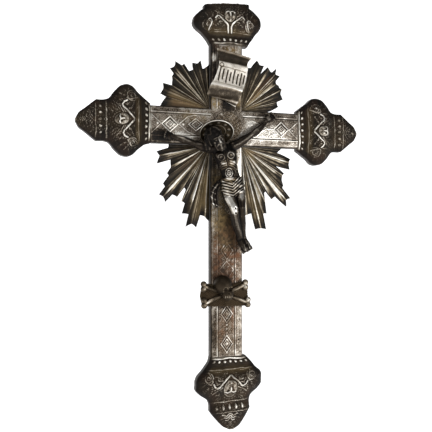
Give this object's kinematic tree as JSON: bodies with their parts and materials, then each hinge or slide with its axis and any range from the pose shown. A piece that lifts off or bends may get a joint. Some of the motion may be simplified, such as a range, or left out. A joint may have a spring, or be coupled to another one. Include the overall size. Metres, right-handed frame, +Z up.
{
  "type": "silver wall crucifix",
  "caption": "Wall crucifix of embossed silver with swelling terminals, ray fans, title scroll, cast figure with halo, and skull with crossed bones.",
  "frame": {"origin": "middle of the crossing on the flat back of the cross, where it lies on the wall", "axes": "+Z up the post, +X along the arm at the viewer's right, +Y into the wall, so the front faces -Y"},
  "size_m": [0.3342, 0.0443, 0.4822],
  "materials": {
    "body_silver": "worn engraved silver, warm grey, brown tarnish in the ground",
    "terminal_silver": "embossed silver, blackish brown tarnish with bright worn high points",
    "ray_silver": "ridged sheet silver, dark brown tarnish, golden near the corners",
    "scroll_silver": "sheet silver, polished plate with dark curls",
    "rosette_silver": "embossed silver, brown tarnish",
    "figure_silver": "cast silver, black tarnish, polished on the chest, belly and knee",
    "halo_silver": "sheet silver, dark tarnish with a bright rim",
    "nail_silver": "dark worn metal",
    "skull_silver": "cast silver, dark brown tarnish with bright worn high points"
  },
  "bodies": {
    "root": {"cross_body": "body_silver", "terminal_left": "terminal_silver", "terminal_right": "terminal_silver", "terminal_top": "terminal_silver", "terminal_bottom": "terminal_silver", "rays_upper_left": "ray_silver", "rays_upper_right": "ray_silver", "rays_lower_left": "ray_silver", "rays_lower_right": "ray_silver", "titulus": "scroll_silver", "rosette": "rosette_silver", "corpus": "figure_silver", "halo": "halo_silver", "nail_right_hand": "nail_silver", "skull_and_crossbones": "skull_silver"}
  },
  "joints": []
}
